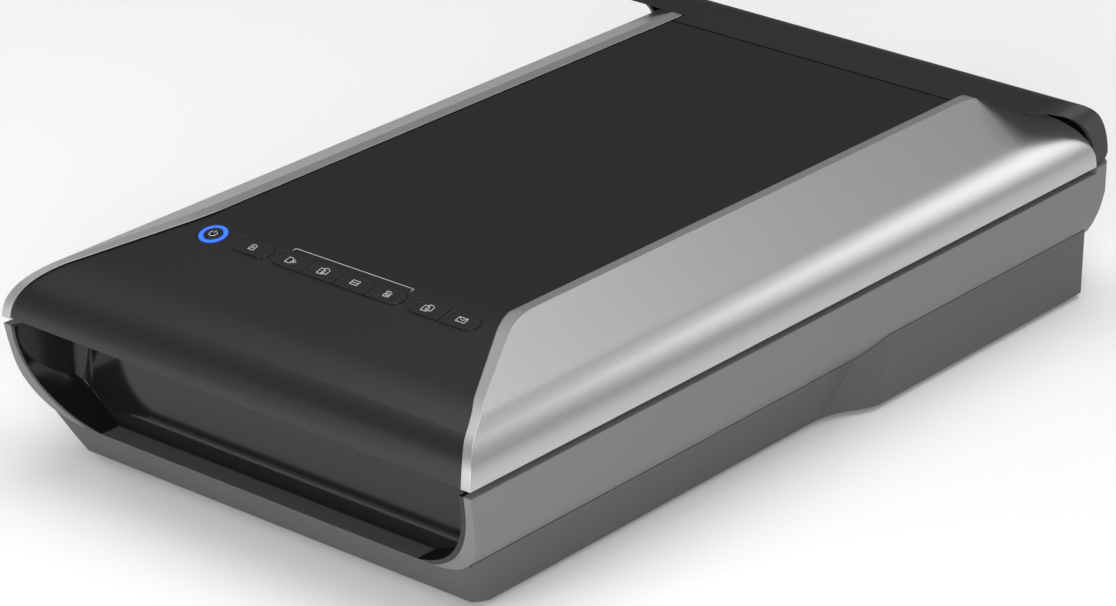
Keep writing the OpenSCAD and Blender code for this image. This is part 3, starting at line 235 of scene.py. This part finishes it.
def ribbed(name, color, pitch, axis, rough=0.6, dark=0.35):
    """Rows of ribs along one axis, as on a toothed belt or a flat cable, with painted shade that darkens the
    colour in the grooves between the ribs.
    """
    made = Finish(name, color, rough)
    wave = made.node("ShaderNodeTexWave", wave_type="BANDS", bands_direction=axis, wave_profile="SIN")
    wave.inputs["Scale"].default_value = math.pi / (10 * pitch)
    wave.inputs["Distortion"].default_value = 0
    made.link(made.place, wave.inputs["Vector"])
    # painted shade: the colour falls to dark times the base colour in the grooves, where the wave and the bump are
    # low
    painted_groove_shade = made.mixed(wave.outputs["Fac"], [channel * dark for channel in color], color)
    made.link(painted_groove_shade, made.shader.inputs["Base Color"])
    made.roughen(made.noise(4 * MM, 4), 0.08)
    made.relief(wave.outputs["Fac"], 0.3 * MM)
    return made.material


def lit(name, color, glow, rough=0.3):
    """Translucent plastic lit from inside."""
    made = Finish(name, color, rough)
    made.shade(made.noise(3 * MM, 3), 0.15)
    made.roughen(made.noise(1 * MM, 3), 0.05)
    made.shader.inputs["Emission Color"].default_value = (*color, 1)
    made.shader.inputs["Emission Strength"].default_value = glow
    made.relief(made.noise(1 * MM, 2), 0.02 * MM, 0.2 * MM)
    return made.material


# ---------- what each slot of the record is made of ----------

FINISHES = {
    "upper_case_grey": plastic("upper case", (0.155, 0.155, 0.158), 0.5),
    "bottom_case_grey": plastic("bottom case", (0.075, 0.075, 0.078), 0.55),
    "scoop_black": gloss("grip scoop", (0.008, 0.008, 0.009), 0.13),
    "clear_glass": clear("platen glass", (0.93, 0.98, 0.97)),
    "white_strip": plastic("calibration strip", (0.85, 0.85, 0.84), 0.6),
    "bright_steel": brushed("ground steel", (0.72, 0.72, 0.74), 0.22, (40, 1, 40)),
    "zinc_steel": brushed("zinc-plated sheet", (0.62, 0.63, 0.65), 0.34, (6, 30, 30)),
    "black_plastic": plastic("black plastic", (0.03, 0.03, 0.031), 0.55),
    "circuit_board": circuit("circuit board", (0.02, 0.17, 0.06)),
    "socket_black": plastic("socket plastic", (0.015, 0.015, 0.016), 0.4),
    "belt_rubber": ribbed("toothed belt", (0.05, 0.05, 0.05), 2 * MM, "Y"),
    "foot_rubber": rubber("rubber", (0.035, 0.035, 0.035)),
    "cable_white": ribbed("flat cable", (0.82, 0.82, 0.8), 1 * MM, "X", 0.4, 0.8),
    "screw_steel": brushed("plated screw", (0.3, 0.3, 0.31), 0.35, (30, 30, 30)),
    "lock_grey": plastic("transport lock", (0.42, 0.42, 0.43), 0.45),
    "led_white": gloss("lamp strip", (0.86, 0.86, 0.78), 0.3),
    "mirror_glass": brushed("front-silvered mirror", (0.88, 0.9, 0.92), 0.06, (1, 1, 1), 1.0, 0.2 * MM, 0.03),
    "lens_black": plastic("black paint", (0.02, 0.02, 0.021), 0.45),
    "mount_metal": brushed("die-cast mount", (0.5, 0.5, 0.52), 0.45, (1, 1, 1)),
    "bush_brass": brushed("brass", (0.72, 0.53, 0.22), 0.3, (20, 20, 1)),
    "white_plastic": plastic("white plastic", (0.78, 0.78, 0.75), 0.45),
    "leg_metal": brushed("satin metal", (0.33, 0.33, 0.34), 0.4, (30, 30, 2)),
    "panel_black": gloss("lid panel", (0.011, 0.011, 0.012), 0.34, 0.5 * MM),
    "trim_silver": plastic("silver trim", (0.5, 0.5, 0.51), 0.38, 0.3 * MM, 0.006 * MM, 0.4 * MM, 0.04, 0.8),
    "cover_black": plastic("hinge cover", (0.010, 0.010, 0.010), 0.5, 0.6 * MM, 0.03 * MM),
    "frame_grey": plastic("lid lining", (0.075, 0.075, 0.078), 0.6),
    "diffuser_white": plastic("diffuser", (0.88, 0.88, 0.86), 0.35, 0.3 * MM),
    "light_guide_clear": clear("light guide", (0.9, 0.95, 0.97), 0.05),
    "key_black": gloss("push button", (0.016, 0.016, 0.017), 0.26, 0.3 * MM),
    "ring_blue": lit("lit ring", (0.02, 0.09, 1.0), 1.6),
    "mat_white": plastic("document mat", (0.86, 0.86, 0.86), 0.75, 0.25 * MM, 0.06 * MM),
}


def dress_frame():
    """Every CAD node takes the finish of its slot in the record."""
    for part in frame["record"]["subparts"]:
        shape = frame["nodes"][part["node"]]
        shape.data.materials.clear()
        shape.data.materials.append(FINISHES[part["material_slot"]])


# ---------- printed marks ----------

INK = plastic("light grey ink", (0.5, 0.5, 0.51), 0.5, 0.2 * MM, 0.01 * MM, 0.05 * MM, 0.1)


def arc(x, y, radius, start, end, steps=24):
    """Points of an arc, with its angles in degrees."""
    angles = [math.radians(start + (end - start) * i / steps) for i in range(steps + 1)]
    return [(x + radius * math.cos(a), y + radius * math.sin(a)) for a in angles]


def rectangle(x, y, width, height):
    w, h = width / 2, height / 2
    return [(x - w, y - h), (x + w, y - h), (x + w, y + h), (x - w, y + h), (x - w, y - h)]


def stroke_object(name, strokes, width=LINE):
    """Raised printed lines through lists of 3-D points."""
    data = bpy.data.curves.new(name, "CURVE")
    data.dimensions = "3D"
    data.bevel_depth = width / 2
    data.bevel_resolution = 2
    data.use_fill_caps = True
    for points in strokes:
        spline = data.splines.new("POLY")
        spline.points.add(len(points) - 1)
        for place, point in zip(spline.points, points):
            place.co = (*point, 1)
    made = bpy.data.objects.new(name, data)
    made.data.materials.append(INK)
    bpy.context.scene.collection.objects.link(made)
    return made


def key_face(node):
    """Middle of a key's top face, and the directions across and up the slope."""
    joint = next(j for j in frame["joints"] if j["child"] == node)
    normal = -Vector(joint["axis"]).normalized()
    across = Vector((1, 0, 0))
    upward = normal.cross(across)
    points = [v.co for v in frame["nodes"][node].data.vertices]
    top = max(p.dot(normal) for p in points)
    face = [p for p in points if p.dot(normal) > top - 0.01 * MM]
    middle = [(min(p.dot(d) for p in face) + max(p.dot(d) for p in face)) / 2 for d in (across, upward)]
    return across * middle[0] + upward * middle[1] + normal * top, across, upward


def print_icon(node, strokes):
    """Icon in millimetres on a key's top face."""
    middle, across, upward = key_face(node)
    lines = [[middle + across * (x * MM) + upward * (y * MM) for x, y in stroke] for stroke in strokes]
    icon = stroke_object(node + "_icon", lines)
    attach(icon, node)


def page(x=0.0, y=0.0, width=3.0, height=3.8, fold=1.0):
    """Sheet outline with a folded corner."""
    w, h = width / 2, height / 2
    return [(x - w, y - h), (x + w, y - h), (x + w, y + h - fold), (x + w - fold, y + h), (x - w, y + h), (x - w, y - h)]


ICONS = {
    "power_button": [arc(0, 0, 1.9, 125, 415), [(0, 0.6), (0, 2.4)]],
    "auto_scan_button": [page(), [(-0.8, 0.5), (0.8, 0.5)], [(-0.8, -0.5), (0.8, -0.5)]],
    "pdf_button_1": [page(-0.6), [(1.6, -1.2), (3.0, 0), (1.6, 1.2), (1.6, -1.2)]],
    "pdf_button_2": [page(-0.8), page(1.2, 0.7)],
    "pdf_button_3": [rectangle(0, 0, 4.0, 3.0), [(-2, 0), (2, 0)]],
    "pdf_button_4": [page(), arc(0, -0.2, 0.8, 0, 360)],
    "copy_button": [page(-0.9, -0.5), page(0.9, 0.5)],
    "email_button": [rectangle(0, 0, 4.8, 3.2), [(-2.4, 1.6), (0, -0.3), (2.4, 1.6)]],
}


def print_bracket():
    """Thin line on the lid that groups the four middle keys."""
    panel = frame["nodes"]["lid_top_panel"].data
    surface = BVHTree.FromPolygons([v.co for v in panel.vertices], [p.vertices for p in panel.polygons])
    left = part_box("pdf_button_1")[0][0] + 5 * MM
    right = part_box("pdf_button_4")[1][0] - 3 * MM
    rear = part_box("pdf_button_1")[1][1] + 2.3 * MM
    steps = 12
    row = [(left, rear - 2 * MM)]
    row += [(left + (right - left) * i / steps, rear) for i in range(steps + 1)]
    row += [(right, rear - 2 * MM)]
    above = cad_box[1][2] + 10 * MM
    points = [surface.ray_cast(Vector((x, y, above)), Vector((0, 0, -1)))[0] for x, y in row]
    line = stroke_object("button_group_line", [points], 0.3 * MM)
    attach(line, "lid")


# ---------- floor and light ----------

def add_floor():
    """Pale floor."""
    half = FLOOR_HALF
    data = bpy.data.meshes.new("floor")
    data.from_pydata([(-half, -half, 0), (half, -half, 0), (half, half, 0), (-half, half, 0)], [], [(0, 1, 2, 3)])
    floor = bpy.data.objects.new("floor", data)
    floor.data.materials.append(plastic("floor paper", (0.9, 0.9, 0.9), 0.8, 2 * MM, 0.01 * MM, 0, 0.01))
    bpy.context.scene.collection.objects.link(floor)


def add_light(name, place, size, power):
    """Soft square light that points at the object."""
    data = bpy.data.lights.new(name, "AREA")
    data.size = size
    data.energy = power
    light = bpy.data.objects.new(name, data)
    aim = Vector(AIM) - Vector(place)
    light.matrix_world = Matrix.Translation(place) @ aim.to_track_quat("-Z", "Y").to_matrix().to_4x4()
    bpy.context.scene.collection.objects.link(light)


def add_lights():
    add_light("overhead", (0.1, 0.1, 2.2), 2.4, 42)
    add_light("key", (1.3, -1.7, 0.8), 0.9, 34)
    add_light("front fill", (-0.4, -2.0, 0.5), 0.8, 12)
    add_light("left fill", (-2.0, -0.2, 0.9), 1.0, 8)
    add_light("rear fill", (1.0, 1.9, 0.9), 1.0, 10)
    world = bpy.data.worlds.new("studio")
    world.use_nodes = True
    background = world.node_tree.nodes["Background"]
    background.inputs["Color"].default_value = (1, 1, 1, 1)
    background.inputs["Strength"].default_value = WORLD_STRENGTH
    bpy.context.scene.world = world
    bpy.context.scene.view_settings.view_transform = "Standard"


add_camera()
dress_frame()
for key_node, icon_strokes in ICONS.items():
    print_icon(key_node, icon_strokes)
print_bracket()
add_floor()
add_lights()
